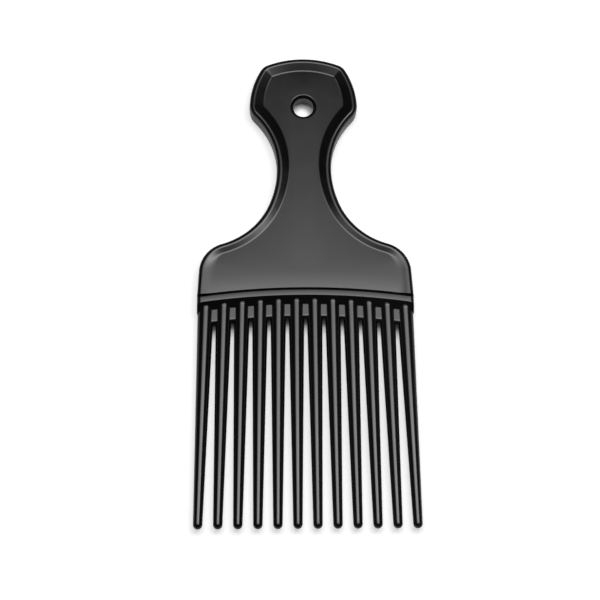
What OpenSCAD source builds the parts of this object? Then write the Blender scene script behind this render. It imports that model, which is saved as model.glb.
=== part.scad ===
// Afro pick: a one-piece moulded hair pick with a waisted handle and twelve long round teeth.
// It lies on its back with +Z up, the teeth point along -Y, and the origin is under its middle.

/* [Handle] */
// Length of the handle, from the lower edge of the root bar to the crown
handle_len = 90; // [80:0.1:100]
// Width across the head, where the teeth start
head_w = 74; // [70:0.1:80]
// Lean of the head's two sides, in degrees
head_taper = 3.4; // [1:0.1:5]
// Radius of the shoulder corners
shoulder_r = 11.1; // [9:0.1:12]
// Slope of the shoulders, in degrees
shoulder_slope = 17.5; // [14:0.5:20]
// Width across the waist
waist_w = 19.1; // [16:0.1:21]
// Height of the waist above the lower edge of the root bar, as a share of the handle's length
waist_h_share = 0.529; // [0.48:0.001:0.55]
// Radius of the hollow just below the waist
waist_low_r = 36; // [32:0.1:40]
// Turn of that hollow before it tightens, in degrees
waist_low_turn = 22.7; // [15:0.1:35]
// Radius of the tighter hollow from there down to the shoulders
shoulder_hollow_r = 25.3; // [22:0.1:30]
// Radius of the hollow from the waist up to the pommel
waist_high_r = 28.9; // [27:0.1:33]
// Width across the pommel
pommel_w = 38.2; // [35:0.1:41]
// Distance from the crown down to the pommel's widest place
pommel_drop = 19.2; // [17:0.1:20]
// Radius of the pommel's bowed sides
pommel_side_r = 29; // [26:0.1:33]
// Radius of the rounding under the pommel
hip_r = 6.4; // [5:0.1:8]
// Radius of the crown's arch
crown_r = 34; // [30:0.1:40]
// Radius of the crown's two corners
crown_corner_r = 5; // [4.8:0.1:6]

/* [Rim and recess] */
// Thickness over the raised rims
rim_t = 7.5; // [7:0.1:9]
// Draft of the side walls, from the parting line to the rounded edge
wall_draft = 0.1; // [0.05:0.05:0.3]
// Radius of the rim's rounded outer edge
edge_r = 1.35; // [1:0.05:1.5]
// Width of the flat land on top of the rim
rim_land = 0.35; // [0.25:0.05:0.5]
// Depth of the panel below the rim, at the root bar
recess_foot = 0.5; // [0.3:0.05:0.8]
// Depth of the panel below the rim, at the crown
recess_crown = 1.35; // [0.8:0.05:1.5]
// Width of the bevel from the rim down to the panel, at the shoulders
bevel_shoulder_w = 1.5; // [1.2:0.1:2.5]
// Width of the bevel at the pommel's widest place
bevel_side_w = 3.3; // [2.5:0.1:3.5]
// Width of the bevel at the crown
bevel_crown_w = 2.8; // [2.2:0.1:3]
// Distance from the head's two sides in to the foot of their soft slope
soft_side_w = 4.4; // [4:0.1:6]

/* [Hanging hole] */
// Diameter of the hanging hole
hole_d = 7.2; // [6:0.1:10]
// Distance from the crown down to the hole's centre
hole_drop = 18.7; // [17:0.1:20]
// Chamfer round both mouths of the hole
hole_chamfer = 0.9; // [0.2:0.05:1.1]

/* [Root bar] */
// Radius of the arc that the root bar follows
bar_arc_r = 250; // [220:1:300]
// Width of the root bar, from the groove to its lower edge
bar_w = 2.75; // [2.4:0.05:3.2]
// Width of the bar's slope down into the groove
bar_groove_w = 0.75; // [0.6:0.05:1]
// Width of the panel's chamfer down into the groove
panel_groove_w = 0.25; // [0.2:0.05:0.4]
// Depth of the groove below the rim
groove_depth = 1.1; // [1:0.05:1.5]
// Width of the slope from the bar's lower edge down to the web
bar_slope_w = 2.6; // [2:0.1:3]

/* [Webs] */
// Thickness of the webs between the roots of the teeth
web_t = 3.2; // [2.6:0.1:3.6]
// Width of the flat webs, from the bar's slope to their round noses
web_w = 3.7; // [3:0.1:4.5]

/* [Teeth] */
// Length of the teeth, from the lower edge of the root bar to the tips
tooth_len = 79.9; // [70:0.1:90]
// Diameter of a tooth at the root bar, as a share of the teeth's spacing there
tooth_root_share = 0.891; // [0.8:0.001:0.93]
// Diameter of a tooth at its rounded tip
tooth_tip_d = 3.1; // [2.5:0.1:3.5]
// Width over the tips of the two outermost teeth
tip_spread_w = 75.1; // [71:0.1:78]
// Distance that the outermost teeth stand in from the head's sides
tooth_inset = 0.3; // [0.2:0.05:0.5]

/* [Hidden] */
TEETH = [
    "tooth_01", "tooth_02", "tooth_03", "tooth_04", "tooth_05", "tooth_06",
    "tooth_07", "tooth_08", "tooth_09", "tooth_10", "tooth_11", "tooth_12"
];
WEBS = [
    "web_01", "web_02", "web_03", "web_04", "web_05", "web_06",
    "web_07", "web_08", "web_09", "web_10", "web_11"
];

plastic = [0.05, 0.05, 0.05];
// How far a cutter runs past what it cuts
overrun = 1;

// Facets to a full turn: long arcs and small rounds
arc_fn = 720;
round_fn = 64;
// Steps across the rim's rounded edge, and along the outline's lines and arcs
edge_steps = 4;
side_steps = 4;
shoulder_steps = 12;
hollow_steps = 10;
hip_steps = 10;
bow_steps = 5;
corner_steps = 8;
crown_steps = 7;

// Heights are taken from the lower edge of the root bar, at the middle of its arc
rim_z = rim_t / 2;
waist_h = handle_len * waist_h_share;
pommel_h = handle_len - pommel_drop;
hole_h = handle_len - hole_drop;
tooth_count = len(TEETH);
web_count = len(WEBS);
foot_y = tooth_len - (handle_len + tooth_len) / 2;
groove_arc_r = bar_arc_r;
foot_arc_r = groove_arc_r - bar_w;
web_arc_r = foot_arc_r - bar_slope_w;
web_end_arc_r = web_arc_r - web_w;
arc_centre_h = -foot_arc_r;
sector_angle = 2 * asin(head_w / web_end_arc_r);
groove_z = rim_z - groove_depth;
// Height at which the groove's arc meets the head's sides
side_foot_h = arc_centre_h + sqrt(pow(groove_arc_r, 2) - pow(head_w / 2, 2));
root_pitch = (head_w - 2 * tooth_inset) / (tooth_count - 1 + tooth_root_share);
tooth_root_d = root_pitch * tooth_root_share;
tooth_root_span = root_pitch * (tooth_count - 1);
tooth_tip_span = tip_spread_w - tooth_tip_d;

function unit(a) = [cos(a), sin(a)];
function bearing(v) = atan2(v[1], v[0]);
function turned(a) = a < 0 ? a + 360 : a;
function mix(a, b, t) = a + (b - a) * t;
function smooth(t) = t * t * (3 - 2 * t);
function shares(n) = [for (i = [0 : n]) i / n];

// Centre on the right of two circles' two meeting points
function meet(c1, r1, c2, r2) =
    let (
        gap = norm(c2 - c1),
        along = (gap * gap + r1 * r1 - r2 * r2) / (2 * gap),
        aside = sqrt(max(0, r1 * r1 - along * along)),
        u = (c2 - c1) / gap,
        m = c1 + u * along,
        side = [-u[1], u[0]] * aside
    )
    (side[0] > 0) ? m + side : m - side;

// Meeting point of two lines, each given by its outward normal and its distance
function cross_point(n1, d1, n2, d2) =
    let (det = n1[0] * n2[1] - n1[1] * n2[0])
    [(d1 * n2[1] - d2 * n1[1]) / det, (d2 * n1[0] - d1 * n2[0]) / det];

// Centres of the arcs on the right-hand side of the outline
side_foot = [head_w / 2, side_foot_h];
side_n = unit(head_taper);
slope_n = unit(90 - shoulder_slope);
low_c = [waist_w / 2 + waist_low_r, waist_h];
foot_c = low_c - unit(waist_low_turn) * (waist_low_r - shoulder_hollow_r);
high_c = [waist_w / 2 + waist_high_r, waist_h];
slope_foot = foot_c - slope_n * shoulder_hollow_r;
shoulder_c = cross_point(
    side_n, side_foot * side_n - shoulder_r,
    slope_n, slope_foot * slope_n - shoulder_r
);
bow_c = [pommel_w / 2 - pommel_side_r, pommel_h];
hip_c = meet(high_c, waist_high_r + hip_r, bow_c, pommel_side_r - hip_r);
crown_c = [0, handle_len - crown_r];
corner_c = meet(bow_c, pommel_side_r - crown_corner_r, crown_c, crown_r - crown_corner_r);
shoulder_top = shoulder_c + side_n * shoulder_r;

// A point of the outline is [x, height, outward normal x, outward normal y, softness of the bevel]
function spot(p, n, soft = 0) = [p[0], p[1], n[0], n[1], soft];
function bulge(c, r, a0, a1, steps) =
    [for (t = shares(steps)) spot(c + r * unit(mix(a0, a1, t)), unit(mix(a0, a1, t)))];
function hollow(c, r, a0, a1, steps) =
    [for (t = shares(steps)) spot(c + r * unit(mix(a0, a1, t)), -unit(mix(a0, a1, t)))];
function without_first(list) = [for (i = [1 : len(list) - 1]) list[i]];
function mirrored(line) =
    [for (i = [len(line) - 1 : -1 : 0]) let (p = line[i]) [-p[0], p[1], -p[2], p[3], p[4]]];

side_start = side_foot + [-tan(head_taper), 1] * bar_w;
side_line = [for (t = shares(side_steps)) spot(mix(side_start, shoulder_top, t), side_n, 1)];
shoulder_arc = [
    for (t = shares(shoulder_steps))
        let (a = mix(head_taper, 90 - shoulder_slope, t))
        spot(shoulder_c + shoulder_r * unit(a), unit(a), smooth(1 - t))
];

// The right-hand side below the waist and above it, and the whole outline of the pommel
lower_right = concat(
    side_line,
    without_first(shoulder_arc),
    hollow(foot_c, shoulder_hollow_r, 270 - shoulder_slope, 180 + waist_low_turn, hollow_steps),
    without_first(hollow(low_c, waist_low_r, 180 + waist_low_turn, 180, hollow_steps))
);
upper_right = concat(
    hollow(high_c, waist_high_r, 180, turned(bearing(hip_c - high_c)), 2 * hollow_steps),
    without_first(bulge(hip_c, hip_r, bearing(high_c - hip_c), bearing(hip_c - bow_c), hip_steps)),
    without_first(bulge(bow_c, pommel_side_r, bearing(hip_c - bow_c), bearing(corner_c - bow_c), bow_steps)),
    without_first(bulge(
        corner_c, crown_corner_r, bearing(corner_c - bow_c), bearing(corner_c - crown_c), corner_steps
    )),
    without_first(bulge(crown_c, crown_r, bearing(corner_c - crown_c), 90, crown_steps))
);
pommel_line = concat(upper_right, without_first(mirrored(upper_right)));

// Steps across the rim's edge, from the parting line up to the flat land, as [distance in, height]
edge_profile = concat(
    [[0, 0]],
    [
        for (t = shares(edge_steps))
            [wall_draft + edge_r * (1 - cos(90 * t)), rim_z - edge_r * (1 - sin(90 * t))]
    ],
    [[wall_draft + edge_r + rim_land, rim_z]]
);
land_in = wall_draft + edge_r + rim_land;

// Distance from the outline in to the panel's edge
function bevel_w(h) =
    h > pommel_h
        ? mix(bevel_side_w, bevel_crown_w, (h - pommel_h) / pommel_drop)
        : mix(bevel_shoulder_w, bevel_side_w, (h - shoulder_top[1]) / (pommel_h - shoulder_top[1]));
function panel_in(p) = mix(land_in + bevel_w(p[1]), soft_side_w, p[4]);
function inset(p, d) = [p[0] - p[2] * d, p[1] - p[3] * d];
// The panel lies a little deeper towards the crown
function panel_z(h) = rim_z - mix(recess_foot, recess_crown, h / handle_len);

// The rim's closed section at one place, as [distance in, height], up the front and down the back
function rim_section(edge_in, edge_h) =
    let (half = concat(edge_profile, [[edge_in, panel_z(edge_h)]]))
    concat(half, [for (i = [len(half) - 1 : -1 : 1]) [half[i][0], -half[i][1]]]);

function arc_h(x) = arc_centre_h + sqrt(pow(groove_arc_r, 2) - x * x);

function rim_ring(p) =
    let (edge_in = panel_in(p))
    [
        for (s = rim_section(edge_in, inset(p, edge_in)[1]))
            let (q = inset(p, s[0]))
            [q[0], q[1], s[1]]
    ];

// The lower corners of the head's panel, at the top of its chamfer into the groove
panel_foot_x = head_w / 2 - soft_side_w;
panel_foot_h = arc_h(panel_foot_x) + panel_groove_w;

// The section at the rim's right-hand foot, a given distance above the groove's arc
function foot_ring(above, top_z) = [
    for (s = rim_section(soft_side_w, panel_foot_h))
        let (x = head_w / 2 - s[0])
        [x, arc_h(x) + above, max(-top_z, min(top_z, s[1]))]
];

// The edges of the two panels, the head's with its lower end run past the groove's arc
pommel_edge = [for (p = pommel_line) inset(p, panel_in(p))];
head_edge = concat(
    [[panel_foot_x, -bar_w], [panel_foot_x, panel_foot_h]],
    [for (p = lower_right) inset(p, panel_in(p))],
    [for (p = mirrored(lower_right)) inset(p, panel_in(p))],
    [[-panel_foot_x, panel_foot_h], [-panel_foot_x, -bar_w]]
);

// Skins a row of closed sections and caps its two ends
module sweep(rings) {
    count = len(rings[0]);
    last = len(rings) - 1;
    strips = [
        for (k = [0 : last - 1], j = [0 : count - 1])
            let (a = k * count + j, b = k * count + (j + 1) % count)
            each [[a, b, b + count], [a, b + count, a + count]]
    ];
    // A cap is a row of quads between the section's front and back halves
    half = floor(count / 2);
    function cap(k) = [
        for (j = [0 : half - 1])
            let (a = k * count + j, b = k * count + j + 1)
            let (c = k * count + (count - j - 1) % count, d = k * count + (count - j) % count)
            each (j == 0 ? [[a, b, c]] : [[a, b, c], [a, c, d]])
    ];
    first_cap = [for (f = cap(0)) [f[2], f[1], f[0]]];
    polyhedron(points = [for (r = rings) each r], faces = concat(strips, first_cap, cap(last)));
}

// Moves a shape from its own heights to the part's frame, back rim down on the origin's plane
module in_place() {
    translate([0, foot_y, rim_z]) children();
}

// Turns a flat shape, drawn in radius and z, round the centre of the root bar's arc
module arc_sector() {
    translate([0, arc_centre_h, 0])
        rotate([0, 0, 90 - sector_angle / 2])
            rotate_extrude(angle = sector_angle, $fn = arc_fn)
                children();
}

module both_faces() {
    children();
    mirror([0, 0, 1]) children();
}

// The wedge between the panel's front and back planes
module panel_wedge() {
    foot = -bar_w - overrun;
    top = handle_len + overrun;
    side = [[panel_z(foot), foot], [panel_z(top), top], [-panel_z(top), top], [-panel_z(foot), foot]];
    translate([head_w / 2, 0, 0])
        rotate([0, -90, 0])
            linear_extrude(height = head_w)
                polygon(side);
}

// Panels: the flat sunk middle of the handle, in two regions that meet at the waist
module panel(edge) {
    intersection() {
        translate([0, 0, -rim_z])
            linear_extrude(height = rim_t)
                polygon(edge);
        panel_wedge();
    }
}

module hole_cut() {
    translate([0, hole_h, -rim_z - overrun])
        cylinder(h = rim_t + 2 * overrun, d = hole_d, $fn = round_fn);
    both_faces()
        translate([0, hole_h, panel_z(hole_h) - hole_chamfer])
            cylinder(h = 2 * hole_chamfer, d1 = hole_d, d2 = hole_d + 4 * hole_chamfer, $fn = round_fn);
}

module foot_cut() {
    translate([0, arc_centre_h, -rim_z - overrun])
        cylinder(h = rim_t + 2 * overrun, r = groove_arc_r, $fn = arc_fn);
}

module groove_cut() {
    arc_sector()
        polygon([
            [groove_arc_r - overrun, groove_z],
            [groove_arc_r, groove_z],
            [groove_arc_r + panel_groove_w, panel_z(panel_foot_h)],
            [groove_arc_r + panel_groove_w, rim_z + overrun],
            [groove_arc_r - overrun, rim_z + overrun]
        ]);
}

module pommel_panel() {
    color(plastic)
        in_place()
            difference() {
                panel(pommel_edge);
                hole_cut();
            }
}

module head_panel() {
    color(plastic)
        in_place()
            difference() {
                panel(head_edge);
                foot_cut();
                both_faces() groove_cut();
            }
}

// Rims: the raised border round the pommel's panel, and down each side of the head's
module pommel_rim() {
    color(plastic)
        in_place()
            sweep([for (p = pommel_line) rim_ring(p)]);
}

module head_rim_right() {
    color(plastic)
        in_place()
            sweep(concat(
                [foot_ring(0, groove_z), foot_ring(panel_groove_w, rim_z)],
                [for (p = lower_right) rim_ring(p)]
            ));
}

module head_rim_left() {
    mirror([1, 0, 0]) head_rim_right();
}

// Root bar: the raised bead under the panel, which the teeth and the web grow from
module bar_section() {
    half = [for (e = edge_profile) [head_w / 2 - e[0], e[1]]];
    upper = concat(half, [for (i = [len(half) - 1 : -1 : 0]) [-half[i][0], half[i][1]]]);
    lower = [for (i = [len(upper) - 2 : -1 : 1]) [upper[i][0], -upper[i][1]]];
    polygon(concat(upper, lower));
}

module bar_ring() {
    upper = [
        [groove_arc_r, groove_z],
        [groove_arc_r - bar_groove_w, rim_z],
        [foot_arc_r, rim_z],
        [web_arc_r, web_t / 2]
    ];
    arc_sector() polygon(concat(upper, [for (i = [len(upper) - 1 : -1 : 0]) [upper[i][0], -upper[i][1]]]));
}

module root_bar() {
    run = bar_w + bar_slope_w + groove_arc_r * (1 - cos(sector_angle / 2));
    color(plastic)
        in_place()
            intersection() {
                bar_ring();
                translate([0, bar_w + overrun, 0])
                    rotate([90, 0, 0])
                        linear_extrude(height = run + 2 * overrun)
                            bar_section();
            }
}

// Teeth: long round cones that fan out a little, each with a ball tip
function tooth_share(i) = i / (tooth_count - 1) - 0.5;
function tooth_root(i) =
    let (x = tooth_root_span * tooth_share(i))
    [x, arc_centre_h + sqrt(pow(foot_arc_r, 2) - x * x)];
function tooth_tip(i) = [tooth_tip_span * tooth_share(i), tooth_tip_d / 2 - tooth_len];
function tooth_r(h) = mix(tooth_root_d, tooth_tip_d, -h / (tooth_len - tooth_tip_d / 2)) / 2;

// Half of a tooth's section, with the centre of its ball tip at the origin
module tooth_section(reach, root_r) {
    tip_r = tooth_tip_d / 2;
    polygon([[0, 0], [tip_r, 0], [root_r, reach], [0, reach]]);
    intersection() {
        circle(r = tip_r, $fn = round_fn);
        translate([0, -tip_r]) square(tip_r);
    }
}

module tooth_body(i) {
    root = tooth_root(i);
    tip = tooth_tip(i);
    translate([tip[0], tip[1], 0])
        rotate([0, 0, bearing(root - tip) - 90])
            rotate([-90, 0, 0])
                rotate_extrude($fn = round_fn)
                    tooth_section(norm(root - tip), tooth_r(root[1]));
}

module tooth(i) {
    color(plastic)
        in_place()
            difference() {
                tooth_body(i);
                bar_ring();
            }
}

// Webs: the thin plates that join neighbouring teeth at their roots, with a round nose
module web_ring() {
    arc_sector() {
        translate([web_end_arc_r, -web_t / 2]) square([web_w, web_t]);
        intersection() {
            translate([web_end_arc_r, 0]) circle(d = web_t, $fn = round_fn);
            translate([web_end_arc_r - web_t / 2, -web_t / 2]) square([web_t / 2, web_t]);
        }
    }
}

module web(i) {
    left = tooth_root(i)[0];
    right = tooth_root(i + 1)[0];
    depth = web_w + web_t / 2 + bar_slope_w + groove_arc_r * (1 - cos(sector_angle / 2));
    color(plastic)
        in_place()
            difference() {
                intersection() {
                    web_ring();
                    translate([left, -depth - overrun, -rim_z])
                        cube([right - left, depth + overrun, rim_t]);
                }
                tooth_body(i);
                tooth_body(i + 1);
            }
}

pommel_panel();
pommel_rim();
head_panel();
head_rim_left();
head_rim_right();
root_bar();
for (i = [0 : tooth_count - 1])
    tooth(i);
for (i = [0 : web_count - 1])
    web(i);
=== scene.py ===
"""A black moulded afro pick lying on a pale studio table."""

import math

import bmesh
import bpy
from bpy.props import FloatProperty, FloatVectorProperty, PointerProperty
from bpy.types import Operator, Panel, PropertyGroup
from mathutils import Matrix, Vector


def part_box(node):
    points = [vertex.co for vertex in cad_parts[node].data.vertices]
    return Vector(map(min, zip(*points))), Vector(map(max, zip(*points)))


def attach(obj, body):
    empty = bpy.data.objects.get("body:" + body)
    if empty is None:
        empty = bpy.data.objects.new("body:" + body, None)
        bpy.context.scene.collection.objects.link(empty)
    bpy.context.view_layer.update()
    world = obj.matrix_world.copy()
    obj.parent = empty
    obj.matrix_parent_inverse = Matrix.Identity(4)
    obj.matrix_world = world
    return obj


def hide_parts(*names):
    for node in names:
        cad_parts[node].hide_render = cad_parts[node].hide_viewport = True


bl_info = {
    "name": "Afro Pick",
    "version": (1, 0, 0),
    "blender": (4, 5, 0),
    "location": "View3D > Sidebar > Pick",
    "description": "Builds a moulded afro pick and the studio table that it lies on",
    "category": "Object",
}

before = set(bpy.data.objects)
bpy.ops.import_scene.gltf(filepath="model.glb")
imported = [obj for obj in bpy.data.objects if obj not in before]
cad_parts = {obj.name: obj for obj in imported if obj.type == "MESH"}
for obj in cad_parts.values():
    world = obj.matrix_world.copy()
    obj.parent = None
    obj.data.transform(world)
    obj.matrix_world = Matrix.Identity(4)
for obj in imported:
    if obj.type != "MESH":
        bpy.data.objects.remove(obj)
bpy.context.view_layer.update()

HANDLE_NODES = ("pommel_panel", "pommel_rim", "head_panel", "head_rim_left", "head_rim_right")
TOOTH_NODES = sorted(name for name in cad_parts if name.startswith("tooth_"))
WEB_NODES = sorted(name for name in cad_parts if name.startswith("web_"))

MM = 0.001
# Points this close are joined, and a strip this wide keeps a flat face's shading flat at its edge
MERGE_GAP = 1e-6
EDGE_STRIP = 0.08 * MM
RIGHT_ANGLE = math.pi / 2
HALF_TURN = math.pi
FULL_TURN = 2 * math.pi


def length(name, millimetres, description):
    """A length that a user may change, given in millimetres and kept in metres."""
    return FloatProperty(name=name, description=description, default=millimetres * MM,
                         min=0.0, precision=5, subtype="DISTANCE", unit="LENGTH")


def angle(name, degrees, description):
    """An angle, given in degrees and kept in radians."""
    return FloatProperty(name=name, description=description, default=math.radians(degrees),
                         subtype="ANGLE", unit="ROTATION")


def colour(name, red, green, blue, description):
    """A colour that a user may change, as linear red, green and blue."""
    return FloatVectorProperty(name=name, description=description, default=(red, green, blue),
                               size=3, min=0.0, max=1.0, subtype="COLOR")


def number(name, value, description, top=1.0):
    """A plain number from nothing up to a top value."""
    return FloatProperty(name=name, description=description, default=value, min=0.0, max=top)


class PickSizes(PropertyGroup):
    """The pick's sizes: those of its solids, and the small roundings that only the render has."""
    handle_len: length("Handle length", 90.0, "From the root bar's lower edge to the crown")
    head_w: length("Head width", 74.0, "Across the head, where the teeth start")
    head_taper: angle("Head taper", 3.4, "Lean of the head's two sides")
    shoulder_r: length("Shoulder radius", 11.1, "Rounding of the shoulder corners")
    shoulder_slope: angle("Shoulder slope", 17.5, "Slope of the shoulders")
    waist_w: length("Waist width", 19.1, "Across the waist")
    waist_share: number("Waist height", 0.529, "Height of the waist as a share of the handle")
    waist_low_r: length("Lower hollow", 36.0, "Radius of the hollow just below the waist")
    waist_low_turn: angle("Lower hollow turn", 22.7, "Turn of that hollow before it tightens")
    shoulder_hollow_r: length("Shoulder hollow", 25.3, "Radius of the hollow above the shoulders")
    waist_high_r: length("Upper hollow", 28.9, "Radius of the hollow above the waist")
    pommel_w: length("Pommel width", 38.2, "Across the pommel")
    pommel_drop: length("Pommel drop", 19.2, "From the crown down to the widest place")
    pommel_side_r: length("Pommel bow", 29.0, "Radius of the pommel's bowed sides")
    hip_r: length("Hip radius", 6.4, "Rounding under the pommel")
    crown_r: length("Crown radius", 34.0, "Radius of the crown's arch")
    crown_corner_r: length("Crown corners", 5.0, "Rounding of the crown's two corners")
    wall_draft: length("Wall draft", 0.1, "Lean of the side walls up to the rounded edge")
    edge_r: length("Edge radius", 1.35, "Rounding of the rim's outer edge")
    rim_land: length("Rim land", 0.35, "Width of the flat on top of the rim")
    recess_foot: length("Recess at the bar", 0.5, "Depth of the panel below the rim")
    recess_crown: length("Recess at the crown", 1.35, "Depth of the panel below the rim")
    crest_r: length("Crest rounding", 0.3, "Run of the rounding where the bevel starts")
    foot_r: length("Foot rounding", 0.33, "Run of the rounding where the bevel ends")
    soft_crest_r: length("Soft crest", 0.8, "Run of that rounding inside the head's sides")
    soft_foot_r: length("Soft foot", 1.5, "Run of that rounding inside the head's sides")
    bevel_shoulder_w: length("Bevel at the shoulders", 1.5, "Width of the bevel inside the rim")
    bevel_side_w: length("Bevel at the pommel", 3.3, "Width of the bevel at its widest place")
    bevel_crown_w: length("Bevel at the crown", 2.8, "Width of the bevel inside the rim")
    soft_side_w: length("Soft sides", 4.4, "From the head's sides in to the slope's foot")
    lip_w: length("Lip", 6.4, "Height above the groove where the panel starts to roll off")
    lip_drop: length("Lip drop", 0.16, "How far the panel rolls off towards the groove")
    hole_d: length("Hanging hole", 7.2, "Diameter of the hanging hole")
    hole_drop: length("Hole drop", 18.7, "From the crown down to the hole's centre")
    hole_chamfer: length("Hole chamfer", 0.9, "Chamfer round both mouths of the hole")
    bar_arc_r: length("Bar arc", 250.0, "Radius of the arc that the root bar follows")
    bar_w: length("Bar width", 2.75, "From the groove to the bar's lower edge")
    bar_groove_w: length("Bar groove slope", 0.75, "Width of the bar's slope into the groove")
    bar_top_r: length("Bar top rounding", 0.2, "Run of the rounding at the bar's upper edge")
    bar_foot_r: length("Bar foot rounding", 0.25, "Run of the rounding at the bar's lower edge")
    panel_groove_w: length("Panel groove edge", 0.25, "Width of the panel's edge at the groove")
    groove_drop: length("Groove depth", 1.1, "Depth of the groove below the rim")
    bar_slope_w: length("Bar slope", 2.6, "Width of the slope down to the webs")
    web_t: length("Web thickness", 3.2, "Thickness of the webs between the teeth")
    web_w: length("Web width", 3.7, "Width of the flat webs down to their round noses")
    tooth_len: length("Tooth length", 79.9, "From the bar's lower edge to the tips")
    tooth_root_share: number("Tooth root", 0.891, "Root diameter as a share of the spacing")
    tooth_tip_d: length("Tooth tip", 3.1, "Diameter of a tooth at its tip")
    tip_spread_w: length("Tip spread", 75.1, "Over the tips of the outermost teeth")
    tooth_inset: length("Tooth inset", 0.3, "From the head's sides to the outermost teeth")
    root_flare: length("Root flare", 0.12, "How far a tooth flares where it leaves the bar")
    root_flare_len: length("Root flare length", 0.7, "Length over which a tooth flares")


class PickFinish(PropertyGroup):
    """The moulded plastic's colour and gloss."""
    black: colour("Black", 0.004, 0.004, 0.0042, "Colour of the plastic")
    worn_black: colour("Rubbed black", 0.007, 0.007, 0.0068, "Colour where handling has dulled it")
    refraction: number("Refraction", 1.5, "Index of refraction of the plastic", 3.0)
    gloss_low: number("Gloss, low", 0.12, "Roughness of the glossiest places")
    gloss_high: number("Gloss, high", 0.19, "Roughness of the dullest places")
    skin_relief: length("Skin relief", 0.004, "Height of the moulding's fine skin")
    wave_relief: length("Wave relief", 0.012, "Height of the slow waves left by shrinkage")
    speck_relief: length("Speck relief", 0.03, "Height of the small specks in the surface")


class PickStudio(PropertyGroup):
    """The table, the softbox, the room and the camera."""
    table_white: colour("Table", 0.76, 0.76, 0.757, "Colour of the table")
    table_lift: number("Table lift", 0.55, "Light added to the table as background")
    # Painted shade: the table's added light is cut to this share in the hole and under the webs
    painted_shade_lift: number("Shade lift", 0.05, "Share of that light left in the hole and at the webs")
    table_r: FloatProperty(name="Table radius", description="Radius of the round table top",
                           default=6.0, subtype="DISTANCE", unit="LENGTH")
    softbox_level: number("Softbox", 10.9, "Brightness that its levels are shares of", 50.0)
    softbox_height: FloatProperty(name="Softbox height", description="Height above the table",
                                  default=0.9, subtype="DISTANCE", unit="LENGTH")
    room_level: number("Room", 0.02, "Brightness of the dark room round the softbox")
    camera_range: length("Camera distance", 598.3, "From the camera to the middle of its view")
    camera_tilt: angle("Camera tilt", 19.77, "Tilt from straight above towards the teeth")
    camera_turn: angle("Camera turn", -3.66, "Turn of the camera round the pick")
    camera_roll: angle("Camera roll", -0.6, "Roll of the camera about its own axis")
    target: FloatVectorProperty(name="Target", description="Middle of the camera's view",
                                default=(-0.00184, -0.0056, 0.00375), size=3, precision=5,
                                subtype="XYZ", unit="LENGTH")
    lens: FloatProperty(name="Lens", description="Focal length in millimetres for a 36 mm sensor",
                        default=105.1)


# Plane geometry


def unit(turn):
    """The arrow of length 1 at an angle."""
    return Vector((math.cos(turn), math.sin(turn)))


def bearing(arrow):
    """The angle of an arrow."""
    return math.atan2(arrow.y, arrow.x)


def mix(low, high, part):
    """The value that lies a part of the way from low to high."""
    return low + (high - low) * part


def smooth(part):
    """Eases a part in and out, and keeps it from 0 to 1."""
    part = min(max(part, 0.0), 1.0)
    return part * part * (3 - 2 * part)


def meeting_point(first, first_r, second, second_r):
    """Where two circles meet, on the right."""
    gap = (second - first).length
    along = (gap * gap + first_r ** 2 - second_r ** 2) / (2 * gap)
    aside = math.sqrt(max(0.0, first_r ** 2 - along ** 2))
    step = (second - first) / gap
    side = Vector((-step.y, step.x)) * aside
    middle = first + step * along
    return middle + side if side.x > 0 else middle - side


def line_meeting(first_n, first_d, second_n, second_d):
    """Where two lines meet, each given by its normal and its distance."""
    det = first_n.x * second_n.y - first_n.y * second_n.x
    return Vector(((first_d * second_n.y - second_d * first_n.y) / det,
                   (second_d * first_n.x - first_d * second_n.x) / det))


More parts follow.
